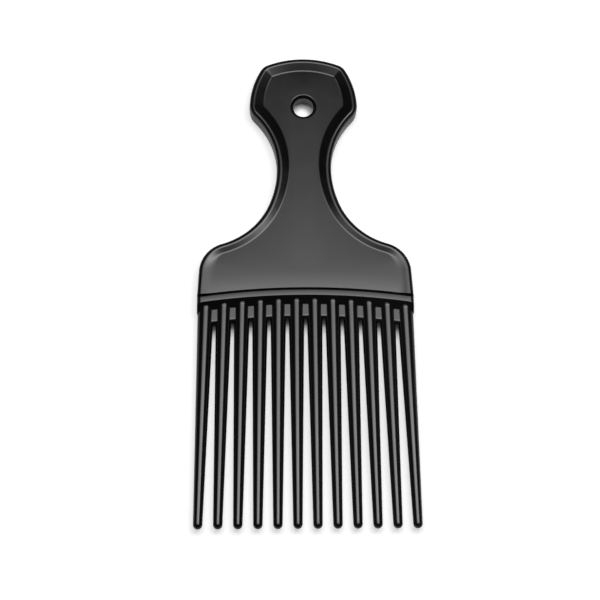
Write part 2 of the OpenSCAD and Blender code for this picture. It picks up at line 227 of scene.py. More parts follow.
class Plan:
    """Places worked out from the sizes. Heights are from the root bar's lower edge."""

    def __init__(self, sizes):
        self.s = s = sizes
        low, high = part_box("pommel_rim")
        self.mid_z = (low.z + high.z) / 2
        self.rim_z = (high.z - low.z) / 2
        self.foot_y = high.y - s.handle_len
        self.arc_h = s.bar_w - s.bar_arc_r
        self.foot_r = s.bar_arc_r - s.bar_w
        self.web_r = self.foot_r - s.bar_slope_w
        self.web_end_r = self.web_r - s.web_w
        self.groove_z = self.rim_z - s.groove_drop
        self.side_n = unit(s.head_taper)
        self.slope_n = unit(RIGHT_ANGLE - s.shoulder_slope)
        waist_h = s.handle_len * s.waist_share
        pommel_h = s.handle_len - s.pommel_drop
        self.low_c = Vector((s.waist_w / 2 + s.waist_low_r, waist_h))
        self.high_c = Vector((s.waist_w / 2 + s.waist_high_r, waist_h))
        self.hollow_c = self.low_c - unit(s.waist_low_turn) * (s.waist_low_r - s.shoulder_hollow_r)
        slope_foot = self.hollow_c - self.slope_n * s.shoulder_hollow_r
        side_foot = Vector((s.head_w / 2, self.arc_height(s.head_w / 2)))
        self.shoulder_c = line_meeting(
            self.side_n, side_foot.dot(self.side_n) - s.shoulder_r,
            self.slope_n, slope_foot.dot(self.slope_n) - s.shoulder_r)
        self.bow_c = Vector((s.pommel_w / 2 - s.pommel_side_r, pommel_h))
        self.hip_c = meeting_point(self.high_c, s.waist_high_r + s.hip_r,
                                   self.bow_c, s.pommel_side_r - s.hip_r)
        self.crown_c = Vector((0, s.handle_len - s.crown_r))
        self.corner_c = meeting_point(self.bow_c, s.pommel_side_r - s.crown_corner_r,
                                      self.crown_c, s.crown_r - s.crown_corner_r)
        count = len(TOOTH_NODES)
        self.pitch = (s.head_w - 2 * s.tooth_inset) / (count - 1 + s.tooth_root_share)
        self.root_d = self.pitch * s.tooth_root_share
        self.root_span = self.pitch * (count - 1)
        self.tip_span = s.tip_spread_w - s.tooth_tip_d

    def arc_height(self, x, radius=None):
        """Height of an arc round the root bar's centre, at a distance from the middle."""
        radius = radius or self.s.bar_arc_r
        return self.arc_h + math.sqrt(radius ** 2 - x * x)

    def above_groove(self, vert):
        """How far a point of the mesh is from the groove's arc."""
        return (vert.co.xy - Vector((0, self.arc_h))).length - self.s.bar_arc_r

    def panel_z(self, height):
        """Height of the panel above the mid plane. It lies a little deeper towards the crown."""
        s = self.s
        return self.rim_z - mix(s.recess_foot, s.recess_crown, height / s.handle_len)

    def bevel_width(self, height):
        """Width of the bevel. It widens up to the pommel's widest place."""
        s = self.s
        widest = s.handle_len - s.pommel_drop
        if height > widest:
            return mix(s.bevel_side_w, s.bevel_crown_w, (height - widest) / s.pommel_drop)
        start = (self.shoulder_c + self.side_n * s.shoulder_r).y
        return mix(s.bevel_shoulder_w, s.bevel_side_w, (height - start) / (widest - start))

    def tooth_axis(self, place):
        """The root and the tip of a tooth's axis, as points in the frame."""
        part = place / (len(TOOTH_NODES) - 1) - 0.5
        x = self.root_span * part
        root = Vector((x, self.foot_y + self.arc_height(x, self.foot_r), self.mid_z))
        tip_y = self.foot_y + self.s.tooth_tip_d / 2 - self.s.tooth_len
        return root, Vector((self.tip_span * part, tip_y, self.mid_z))


# Mesh helpers


def rounded(start, corner, end, steps):
    """The points of the curve that rounds a corner."""
    points = []
    for step in range(steps + 1):
        part = step / steps
        first = start.lerp(corner, part)
        points.append(tuple(first.lerp(corner.lerp(end, part), part)))
    return points


def edges_between(bm, chosen):
    """The edges whose two ends are both chosen."""
    return [e for e in bm.edges if chosen(e.verts[0]) and chosen(e.verts[1])]


def chain_edges(chain, bm=None):
    """The edges along a row of points. They are new where a mesh is named."""
    if bm:
        return [bm.edges.new(pair) for pair in zip(chain, chain[1:])]
    return [next(e for e in first.link_edges if e.other_vert(first) == second)
            for first, second in zip(chain, chain[1:])]


def spin(bm, geom, centre, turn, steps, axis=(0, 0, 1), merge=False):
    """Spins a part of a mesh round a centre, and returns what the last step made."""
    return bmesh.ops.spin(bm, geom=geom, cent=(*centre, 0), axis=axis, dvec=(0, 0, 0), angle=turn,
                          steps=steps, use_merge=merge, use_duplicate=False)["geom_last"]


def spin_vert(bm, vert, centre, turn, steps):
    """Spins one point round an upright axis, and returns the row of points that it draws."""
    row = [v for v in spin(bm, [vert], centre, turn, steps) if isinstance(v, bmesh.types.BMVert)]
    while row[-1] != vert:
        row.append(next(e.other_vert(row[-1]) for e in row[-1].link_edges
                        if e.other_vert(row[-1]) not in row[-2:]))
    return row[::-1]


def extrude_edges(bm, edges):
    """Draws a row of edges out into faces, and returns its new points and its new edges."""
    made = bmesh.ops.extrude_edge_only(bm, edges=edges)["geom"]
    fresh = {item for item in made if isinstance(item, bmesh.types.BMVert)}
    row = [item for item in made if isinstance(item, bmesh.types.BMEdge)
           and item.verts[0] in fresh and item.verts[1] in fresh]
    return fresh, row


def mirror_merge(bm, axis):
    """Mirrors everything across the origin's plane and joins the two halves."""
    bmesh.ops.mirror(bm, geom=bm.verts[:] + bm.edges[:] + bm.faces[:], matrix=Matrix.Identity(4),
                     merge_dist=MERGE_GAP, axis=axis)


def soften(mesh, sharpest):
    """Smooth shading, with an edge kept where two faces meet at more than an angle."""
    mesh.polygons.foreach_set("use_smooth", [True] * len(mesh.polygons))
    mesh.set_sharp_from_angle(angle=math.radians(sharpest))


def finish_piece(bm, name, plan, nodes, material, sharpest=28):
    """Turns a mesh made about the mid plane and the bar's lower edge into a piece in the frame."""
    bmesh.ops.remove_doubles(bm, verts=bm.verts, dist=MERGE_GAP)
    bmesh.ops.dissolve_degenerate(bm, edges=bm.edges, dist=MERGE_GAP)
    bmesh.ops.translate(bm, verts=bm.verts, vec=Vector((0, plan.foot_y, plan.mid_z)))
    place_piece(bm, name, nodes, material, sharpest)


def place_piece(bm, name, nodes, material, sharpest):
    """Turns a mesh that lies in the frame into the piece that stands for its nodes."""
    bmesh.ops.recalc_face_normals(bm, faces=bm.faces)
    mesh = bpy.data.meshes.new(name)
    bm.to_mesh(mesh)
    bm.free()
    soften(mesh, sharpest)
    mesh.materials.append(material)
    piece = bpy.data.objects.new(name, mesh)
    bpy.context.scene.collection.objects.link(piece)
    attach(piece, "root")
    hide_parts(*nodes)


# Materials


class Wiring:
    """A few short calls for wiring the nodes of one material, lamp or world."""

    def __init__(self, owner, output):
        owner.use_nodes = True
        self.tree = owner.node_tree
        self.tree.nodes.clear()
        self.output = self.node(output)

    def node(self, kind, **values):
        made = self.tree.nodes.new(kind)
        for name, value in values.items():
            setattr(made, name, value)
        return made

    def join(self, source, target):
        self.tree.links.new(source, target)

    def ramp(self, source, low, high, bottom=0.0, top=1.0):
        """Runs from bottom to top while the source runs from low to high."""
        made = self.node("ShaderNodeMapRange", interpolation_type="SMOOTHSTEP")
        for slot, value in zip(("From Min", "From Max", "To Min", "To Max"),
                               (low, high, bottom, top)):
            made.inputs[slot].default_value = value
        self.join(source, made.inputs["Value"])
        return made.outputs["Result"]

    def maths(self, operation, first, second):
        made = self.node("ShaderNodeMath", operation=operation)
        for slot, value in enumerate((first, second)):
            if isinstance(value, (int, float)):
                made.inputs[slot].default_value = value
            else:
                self.join(value, made.inputs[slot])
        return made.outputs[0]

    def curve(self, source, stops):
        """Follows a smooth curve through its stops, each given as (source, level) from 0 to 1."""
        made = self.node("ShaderNodeFloatCurve")
        points = made.mapping.curves[0].points
        points[0].location, points[1].location = stops[0], stops[-1]
        for stop in stops[1:-1]:
            points.new(*stop)
        for point in points:
            point.handle_type = "AUTO_CLAMPED"
        made.mapping.update()
        self.join(source, made.inputs["Value"])
        return made.outputs[0]


# Patterns in the plastic, each as its cells in a metre and its detail
RUBBED = (45.0, 4.0)
GLOSS_DRIFT = (160.0, 3.0)
SPECK_PATCHES = (60.0, 1.0)
FINE_SKIN = (1400.0, 2.0)
SLOW_WAVES = (55.0, 1.0)
SPECKS_IN_A_METRE = 130.0
# Levels of a pattern between which it takes hold
RUBBED_RUN = (0.42, 0.7)
GLOSS_RUN = (0.3, 0.75)
PATCH_RUN = (0.6, 0.64)
SPECK_RUN = (0.02, 0.05)


def moulded_plastic(name, finish, stretch):
    """Black gloss plastic with a fine moulded skin, slow shrinkage waves, specks and rubbed places."""
    material = bpy.data.materials.new(name)
    shader = Wiring(material, "ShaderNodeOutputMaterial")
    plastic = shader.node("ShaderNodeBsdfPrincipled")
    plastic.inputs["IOR"].default_value = finish.refraction
    shader.join(plastic.outputs["BSDF"], shader.output.inputs["Surface"])
    mapping = shader.node("ShaderNodeMapping")
    mapping.inputs["Scale"].default_value = stretch
    shader.join(shader.node("ShaderNodeTexCoord").outputs["Object"], mapping.inputs["Vector"])
    place = mapping.outputs["Vector"]

    def noise(scale, detail):
        made = shader.node("ShaderNodeTexNoise")
        made.inputs["Scale"].default_value = scale
        made.inputs["Detail"].default_value = detail
        shader.join(place, made.inputs["Vector"])
        return made.outputs["Fac"]

    rubbed = shader.ramp(noise(*RUBBED), *RUBBED_RUN)
    tint = shader.node("ShaderNodeMix", data_type="RGBA")
    shader.join(rubbed, tint.inputs["Factor"])
    tint.inputs["A"].default_value = (*finish.black, 1)
    tint.inputs["B"].default_value = (*finish.worn_black, 1)
    shader.join(tint.outputs["Result"], plastic.inputs["Base Color"])
    gloss = shader.ramp(noise(*GLOSS_DRIFT), *GLOSS_RUN, finish.gloss_low, finish.gloss_high)
    shader.join(gloss, plastic.inputs["Roughness"])

    specks = shader.node("ShaderNodeTexVoronoi")
    specks.inputs["Scale"].default_value = SPECKS_IN_A_METRE
    shader.join(place, specks.inputs["Vector"])
    dots = shader.ramp(specks.outputs["Distance"], *SPECK_RUN, 1.0, 0.0)
    patches = shader.ramp(noise(*SPECK_PATCHES), *PATCH_RUN)
    dots = shader.maths("MULTIPLY", dots, patches)

    normal = None
    for source, relief in ((noise(*FINE_SKIN), finish.skin_relief),
                           (noise(*SLOW_WAVES), finish.wave_relief),
                           (dots, finish.speck_relief)):
        bump = shader.node("ShaderNodeBump")
        bump.inputs["Distance"].default_value = relief
        bump.inputs["Strength"].default_value = 1.0
        shader.join(source, bump.inputs["Height"])
        if normal is not None:
            shader.join(normal, bump.inputs["Normal"])
        normal = bump.outputs["Normal"]
    shader.join(normal, plastic.inputs["Normal"])
    return material


def plastic_for(name, stretch=(1, 1, 1)):
    """The named plastic, made once."""
    found = bpy.data.materials.get(name)
    return found or moulded_plastic(name, bpy.context.scene.pick_finish, stretch)


# Pieces


class PICK_OT_handle(Operator):
    """Makes the waisted handle with its rim, sunk panel and hanging hole"""
    bl_idname = "pick.make_handle"
    bl_label = "Handle"

    # Heights of the lip's rows above the groove, as shares of the lip, after the row at its edge
    LIP_SHARES = (0.125, 0.25, 0.406, 0.594, 0.797, 1.0)
    # Where the groove edge's small rounding starts, as a share of the edge, and how far it drops
    GROOVE_EDGE_SHARE = 0.75
    GROOVE_EDGE_DROP = 0.04 * MM
    # Steps round each curve of the outline, from the shoulder to the crown
    SHOULDER_STEPS = 20
    SHOULDER_HOLLOW_STEPS = 24
    LOW_HOLLOW_STEPS = 12
    HIGH_HOLLOW_STEPS = 28
    HIP_STEPS = 20
    SIDE_STEPS = 12
    CORNER_STEPS = 14
    CROWN_STEPS = 14
    # Steps round each curve of the rim's section, along the lip and round half of the hole
    EDGE_STEPS = 6
    CREST_STEPS = 4
    FOOT_STEPS = 5
    LIP_STEPS = 14
    HOLE_STEPS = 40
    MOUTH_STEPS = 5

    def execute(self, context):
        self.plan = plan = Plan(context.scene.pick_sizes)
        self.s = plan.s
        bm = bmesh.new()
        self.base = bm.verts.layers.float_vector.new("base")
        self.outward = bm.verts.layers.float_vector.new("outward")
        self.soft = bm.verts.layers.float.new("soft")
        self.row = bm.verts.layers.float.new("row")
        self.draw_outline(bm)
        inner = self.raise_rim(bm)
        rows = self.draw_lip(bm, inner)
        self.fill_panel(bm, inner, rows[-1], self.sink_hole(bm))
        self.roll_lip(bm)
        self.close_foot(bm)
        bmesh.ops.remove_doubles(bm, verts=bm.verts, dist=MERGE_GAP)
        mirror_merge(bm, "X")
        mirror_merge(bm, "Z")
        finish_piece(bm, "handle", plan, HANDLE_NODES, plastic_for("black_plastic"))
        return {"FINISHED"}

    def mark(self, vert, outward, soft=0.0, row=0.0):
        """Notes on a point of the outline which way is out, how soft its slope is, and its row."""
        vert[self.base] = vert.co
        vert[self.outward] = (outward.x, outward.y, 0)
        vert[self.soft] = soft
        vert[self.row] = row

    def draw_outline(self, bm):
        """The right-hand half of the outline at the parting line, from the foot to the crown."""
        s, plan = self.s, self.plan
        last = None
        for row in (s.panel_groove_w, *(s.lip_w * part for part in self.LIP_SHARES)):
            height = plan.arc_height(s.head_w / 2, s.bar_arc_r + row)
            lean = 0 if last is None else math.tan(s.head_taper) * height
            vert = bm.verts.new((s.head_w / 2 - lean, height, 0))
            self.mark(vert, Vector((1, 0)) if last is None else plan.side_n, 1.0, row)
            if last:
                bm.edges.new((last, vert))
            last = vert
        shoulder_top = plan.shoulder_c + plan.side_n * s.shoulder_r
        vert = self.draw_line(bm, last, shoulder_top, plan.side_n, 1.0)
        vert = self.draw_arc(bm, vert, plan.shoulder_c,
                             RIGHT_ANGLE - s.shoulder_slope - s.head_taper,
                             self.SHOULDER_STEPS, 1, s.head_taper)
        slope_top = plan.hollow_c - plan.slope_n * s.shoulder_hollow_r
        vert = self.draw_line(bm, vert, slope_top, plan.slope_n)
        vert = self.draw_arc(bm, vert, plan.hollow_c,
                             s.shoulder_slope + s.waist_low_turn - RIGHT_ANGLE,
                             self.SHOULDER_HOLLOW_STEPS, -1)
        vert = self.draw_arc(bm, vert, plan.low_c, -s.waist_low_turn, self.LOW_HOLLOW_STEPS, -1)
        hip_bearing = bearing(plan.hip_c - plan.high_c) % FULL_TURN
        vert = self.draw_arc(bm, vert, plan.high_c, hip_bearing - HALF_TURN,
                             self.HIGH_HOLLOW_STEPS, -1)
        bow_bearing = bearing(plan.hip_c - plan.bow_c)
        vert = self.draw_arc(bm, vert, plan.hip_c,
                             bow_bearing - bearing(plan.high_c - plan.hip_c), self.HIP_STEPS, 1)
        corner_bearing = bearing(plan.corner_c - plan.bow_c)
        vert = self.draw_arc(bm, vert, plan.bow_c, corner_bearing - bow_bearing,
                             self.SIDE_STEPS, 1)
        crown_bearing = bearing(plan.corner_c - plan.crown_c)
        vert = self.draw_arc(bm, vert, plan.corner_c, crown_bearing - corner_bearing,
                             self.CORNER_STEPS, 1)
        self.draw_arc(bm, vert, plan.crown_c, RIGHT_ANGLE - crown_bearing, self.CROWN_STEPS, 1)

    def draw_line(self, bm, vert, end, outward, soft=0.0):
        """Runs the outline straight on to a point."""
        ahead = bm.verts.new((end.x, end.y, 0))
        self.mark(ahead, outward, soft)
        bm.edges.new((vert, ahead))
        return ahead

    def draw_arc(self, bm, vert, centre, turn, steps, side, soft_from=None):
        """Spins the outline's last point round a centre. Side is 1 on a bulge, -1 in a hollow."""
        chain = spin_vert(bm, vert, centre, turn, steps)
        for spot in chain[1:]:
            outward = (spot.co.xy - centre).normalized() * side
            soft = 0.0
            if soft_from is not None:
                soft = smooth(1 - (bearing(outward) - soft_from) / turn)
            self.mark(spot, outward, soft)
        return chain[-1]

    def section(self, vert):
        """The rim's section at one place, as (distance in, height), from the parting line up."""
        s, plan = self.s, self.plan
        soft = vert[self.soft]
        steps = [(0.0, 0.0)]
        for step in range(self.EDGE_STEPS + 1):
            turn = RIGHT_ANGLE * step / self.EDGE_STEPS
            steps.append((s.wall_draft + s.edge_r * (1 - math.cos(turn)),
                          plan.rim_z - s.edge_r * (1 - math.sin(turn))))
        land = s.wall_draft + s.edge_r + s.rim_land
        bevel = plan.bevel_width(vert[self.base].y)
        foot_in = mix(land + bevel, s.soft_side_w, soft)
        crest = Vector((land, plan.rim_z))
        foot = Vector((foot_in, plan.panel_z(self.spot(vert, foot_in).y)))
        slope = (foot - crest).normalized()
        crest_run = mix(s.crest_r, s.soft_crest_r, soft)
        foot_run = mix(s.foot_r, s.soft_foot_r, soft)
        steps += rounded(crest - Vector((s.crest_r, 0)), crest, crest + slope * crest_run,
                         self.CREST_STEPS)
        steps += rounded(foot - slope * foot_run, foot, foot + Vector((foot_run, 0)),
                         self.FOOT_STEPS)
        steps.append((foot_in + foot_run + EDGE_STRIP, foot.y))
        return steps

    def spot(self, vert, inward):
        """The place at a distance in from a point of the outline. The lip's rows follow the bar."""
        spot = (vert[self.base] - vert[self.outward] * inward).xy
        if vert[self.row]:
            spot.y = self.plan.arc_height(spot.x, self.s.bar_arc_r + vert[self.row])
        return spot

    def raise_rim(self, bm):
        """Draws the outline up over the rim and down its bevel, and returns the panel's edge."""
        chain = bm.edges[:]
        rings = len(self.section(bm.verts[:][0]))
        for ring in range(1, rings):
            fresh, chain = extrude_edges(bm, chain)
            for vert in fresh:
                inward, height = self.section(vert)[ring]
                vert.co = (*self.spot(vert, inward), height)
                if ring == rings - 1:
                    vert.co.z = self.plan.panel_z(vert.co.y)
        for vert in bm.verts:
            if abs(vert[self.base].x) < MERGE_GAP:
                vert.co.x = 0
        return chain

    def draw_lip(self, bm, inner):
        """Spins the lip's rows from the rim to the middle, and skins them."""
        plan = self.plan
        side = sorted({v for e in inner for v in e.verts if v[self.row]}, key=lambda v: v[self.row])
        rows = []
        for vert in side:
            arm = vert.co.xy - Vector((0, plan.arc_h))
            row = spin_vert(bm, vert, (0, plan.arc_h), RIGHT_ANGLE - bearing(arm), self.LIP_STEPS)
            row[-1].co.x = 0
            for spot in row:
                spot.co.z = plan.panel_z(spot.co.y)
            rows.append(row)
        for lower, upper in zip(rows, rows[1:]):
            bmesh.ops.bridge_loops(bm, edges=chain_edges(lower) + chain_edges(upper))
        return rows

    def sink_hole(self, bm):
        """Spins half of the hanging hole's mouth, draws its wall down, and returns the mouth."""
        s, plan = self.s, self.plan
        centre = Vector((0, s.handle_len - s.hole_drop))
        top = plan.panel_z(centre.y)
        radius = s.hole_d / 2
        mouth_r = radius + s.hole_chamfer
        start = bm.verts.new((0, centre.y + mouth_r + s.crest_r + EDGE_STRIP * 2, top))
        mouth = spin_vert(bm, start, centre, -HALF_TURN, self.HOLE_STEPS)
        mouth[-1].co.x = 0
        wall = rounded(Vector((mouth_r + s.crest_r, top)), Vector((mouth_r, top)),
                       Vector((mouth_r - s.crest_r / 2, top - s.crest_r / 2)), self.MOUTH_STEPS)
        wall += [(radius, top - s.hole_chamfer), (radius, 0.0)]
        chain = chain_edges(mouth)
        for reach, height in wall:
            fresh, chain = extrude_edges(bm, chain)
            for vert in fresh:
                spot = centre + (vert.co.xy - centre).normalized() * reach
                vert.co = (spot.x, spot.y, height)
        return mouth

    def fill_panel(self, bm, inner, row, mouth):
        """Fills the panel with one flat face, round the hole and above the lip."""
        slots = [bm.edges.new((mouth[0], max((v for e in inner for v in e.verts),
                                             key=lambda v: v.co.y))),
                 bm.edges.new((mouth[-1], row[-1]))]
        rim = [e for e in inner if not (e.verts[0][self.row] and e.verts[1][self.row])]
        bmesh.ops.edgeloop_fill(bm, edges=rim + slots + chain_edges(row) + chain_edges(mouth))

    def roll_lip(self, bm):
        """Rolls the panel off a little towards the groove, less and less up the sides."""
        plan, s = self.plan, self.s
        crest = s.wall_draft + s.edge_r + s.rim_land
        for vert in bm.verts:
            short = 1 - plan.above_groove(vert) / s.lip_w
            if short > 0 and vert.co.z > plan.groove_z:
                inward = smooth((s.head_w / 2 - vert.co.x - crest) / s.soft_side_w)
                vert.co.z -= s.lip_drop * short ** 2 * inward

    def close_foot(self, bm):
        """Turns the open end down into the groove, and closes it against the bar."""
        plan, s = self.plan, self.s
        foot = edges_between(bm, lambda v: abs(plan.above_groove(v) - s.panel_groove_w) < MERGE_GAP)
        # The edge's small rounding, the groove's floor and the parting line
        for above, drop, ceiling in (
                (s.panel_groove_w * self.GROOVE_EDGE_SHARE, self.GROOVE_EDGE_DROP, plan.rim_z),
                (0.0, 0.0, plan.groove_z), (0.0, 0.0, 0.0)):
            fresh, foot = extrude_edges(bm, foot)
            for vert in fresh:
                vert.co.y = plan.arc_height(vert.co.x, s.bar_arc_r + above)
                vert.co.z = min(max(0.0, vert.co.z - drop), ceiling)


class PICK_OT_root_bar(Operator):
    """Makes the raised arched bar that the teeth grow from"""
    bl_idname = "pick.make_root_bar"
    bl_label = "Root bar"

    ROUNDING_STEPS = 5
    ARC_STEPS = 40
    END_STEPS = 6

    def section(self, plan):
        """The bar's section as (radius, height), from the groove round to the webs."""
        s = plan.s
        groove = Vector((s.bar_arc_r, plan.groove_z))
        top = Vector((s.bar_arc_r - s.bar_groove_w, plan.rim_z))
        foot = Vector((plan.foot_r, plan.rim_z))
        webs = Vector((plan.web_r, s.web_t / 2))
        steps = [(groove.x, 0.0), tuple(groove)]
        for before, corner, after, run in ((groove, top, foot, s.bar_top_r),
                                           (top, foot, webs, s.bar_foot_r)):
            steps += rounded(corner + (before - corner).normalized() * run, corner,
                             corner + (after - corner).normalized() * run, self.ROUNDING_STEPS)
        return steps + [tuple(webs), (webs.x, 0.0)]

    def execute(self, context):
        plan = Plan(context.scene.pick_sizes)
        s = plan.s
        bm = bmesh.new()
        verts = [bm.verts.new((0, plan.arc_h + radius, height))
                 for radius, height in self.section(plan)]
        reach = s.head_w / 2 - s.wall_draft - s.edge_r
        spun = spin(bm, verts + chain_edges(verts, bm), (0, plan.arc_h),
                    -math.asin(reach / s.bar_arc_r), self.ARC_STEPS)
        end = [item for item in spun if isinstance(item, bmesh.types.BMEdge)]
        # The rounded edge at the bar's end as (distance in, height), and then its closed side
        turns = [RIGHT_ANGLE * step / self.END_STEPS for step in range(1, self.END_STEPS + 1)]
        rows = [(s.wall_draft + s.edge_r * (1 - math.sin(turn)),
                 plan.rim_z - s.edge_r * (1 - math.cos(turn))) for turn in turns]
        for inward, ceiling in (*rows, (0.0, 0.0)):
            fresh, end = extrude_edges(bm, end)
            for vert in fresh:
                radius = (vert.co.xy - Vector((0, plan.arc_h))).length
                vert.co.x = s.head_w / 2 - inward
                vert.co.y = plan.arc_h + math.sqrt(radius ** 2 - vert.co.x ** 2)
                vert.co.z = min(vert.co.z, ceiling)
        mirror_merge(bm, "X")
        mirror_merge(bm, "Z")
        finish_piece(bm, "root_bar", plan, ("root_bar",), plastic_for("black_plastic"))
        return {"FINISHED"}


class PICK_OT_teeth(Operator):
    """Makes the long round teeth with their ball tips and flared roots"""
    bl_idname = "pick.make_teeth"
    bl_label = "Teeth"

    TIP_STEPS = 8
    FLARE_STEPS = 5
    FLARE_POWER = 2.2
    SIDES = 48
    # Rings along the tooth, as shares of the way from the tip's centre to the flare
    RING_SHARES = (0.02, 0.25, 0.5, 0.75, 0.98, 1.0)
    # Where a tooth leaves the bar's slope, as a share of the slope's width
    LEAVE_SHARE = 0.44

    def section(self, plan, reach):
        """A tooth's section as (distance from the tip's centre, radius), from the tip up."""
        s = plan.s
        tip_r = s.tooth_tip_d / 2
        turns = [RIGHT_ANGLE * step / self.TIP_STEPS for step in range(self.TIP_STEPS + 1)]
        steps = [(-tip_r * math.cos(turn), tip_r * math.sin(turn)) for turn in turns]
        start = reach - s.bar_slope_w * self.LEAVE_SHARE - s.root_flare_len
        for part in self.RING_SHARES:
            steps.append((start * part, mix(tip_r, plan.root_d / 2, start * part / reach)))
        for step in range(1, self.FLARE_STEPS + 1):
            part = step / self.FLARE_STEPS
            along = start + s.root_flare_len * part
            steps.append((along, mix(tip_r, plan.root_d / 2, along / reach)
                          + s.root_flare * part ** self.FLARE_POWER))
        return steps + [(reach, steps[-1][1]), (reach, 0.0)]

    def execute(self, context):
        plan = Plan(context.scene.pick_sizes)
        for place, node in enumerate(TOOTH_NODES):
            root, tip = plan.tooth_axis(place)
            bm = bmesh.new()
            verts = [bm.verts.new((radius, along, 0))
                     for along, radius in self.section(plan, (root - tip).length)]
            spin(bm, verts + chain_edges(verts, bm), (0, 0), FULL_TURN, self.SIDES,
                 axis=(0, 1, 0), merge=True)
            bmesh.ops.remove_doubles(bm, verts=bm.verts, dist=MERGE_GAP)
            bmesh.ops.dissolve_degenerate(bm, edges=bm.edges, dist=MERGE_GAP)
            lean = bearing((root - tip).xy) - RIGHT_ANGLE
            bmesh.ops.rotate(bm, verts=bm.verts, cent=(0, 0, 0),
                             matrix=Matrix.Rotation(lean, 3, "Z"))
            bmesh.ops.translate(bm, verts=bm.verts, vec=tip)
            # The plastic's pattern is drawn out along the teeth
            place_piece(bm, f"{node}_moulded", (node,), plastic_for("tooth_plastic", (1, 0.2, 1)),
                        sharpest=60)
        return {"FINISHED"}


class PICK_OT_webs(Operator):
    """Makes the thin webs between the roots of the teeth"""
    bl_idname = "pick.make_webs"
    bl_label = "Webs"

    NOSE_STEPS = 20
    ARC_STEPS = 4
    NOSE_STRIP = 0.1 * MM
    # How far from a tooth's axis its webs start, as a share of the teeth's spacing
    START_SHARE = 0.2

    def section(self, plan):
        """A web's section as (radius, height): a flat plate with a round nose."""
        half_t = plan.s.web_t / 2
        flat_end = plan.web_end_r + self.NOSE_STRIP
        turns = [HALF_TURN * step / self.NOSE_STEPS for step in range(self.NOSE_STEPS + 1)]
        nose = [(plan.web_end_r - half_t * math.sin(turn), half_t * math.cos(turn))
                for turn in turns]
        return [(plan.web_r, half_t), (flat_end, half_t), *nose,
                (flat_end, -half_t), (plan.web_r, -half_t)]

    def execute(self, context):
        plan = Plan(context.scene.pick_sizes)
        start = plan.pitch * self.START_SHARE
        for place, node in enumerate(WEB_NODES):
            left, right = (plan.tooth_axis(place + step)[0].x for step in (0, 1))
            first, last = (math.asin(x / plan.web_r) for x in (left + start, right - start))
            bm = bmesh.new()
            verts = [bm.verts.new((0, radius, height)) for radius, height in self.section(plan)]
            face = bm.faces.new(verts)
            bmesh.ops.rotate(bm, verts=verts, cent=(0, 0, 0),
                             matrix=Matrix.Rotation(-first, 3, "Z"))
            spin(bm, [face], (0, 0), first - last, self.ARC_STEPS)
            bmesh.ops.translate(bm, verts=bm.verts, vec=Vector((0, plan.arc_h, 0)))
            finish_piece(bm, f"{node}_moulded", plan, (node,), plastic_for("black_plastic"),
                         sharpest=40)
        return {"FINISHED"}


# Studio


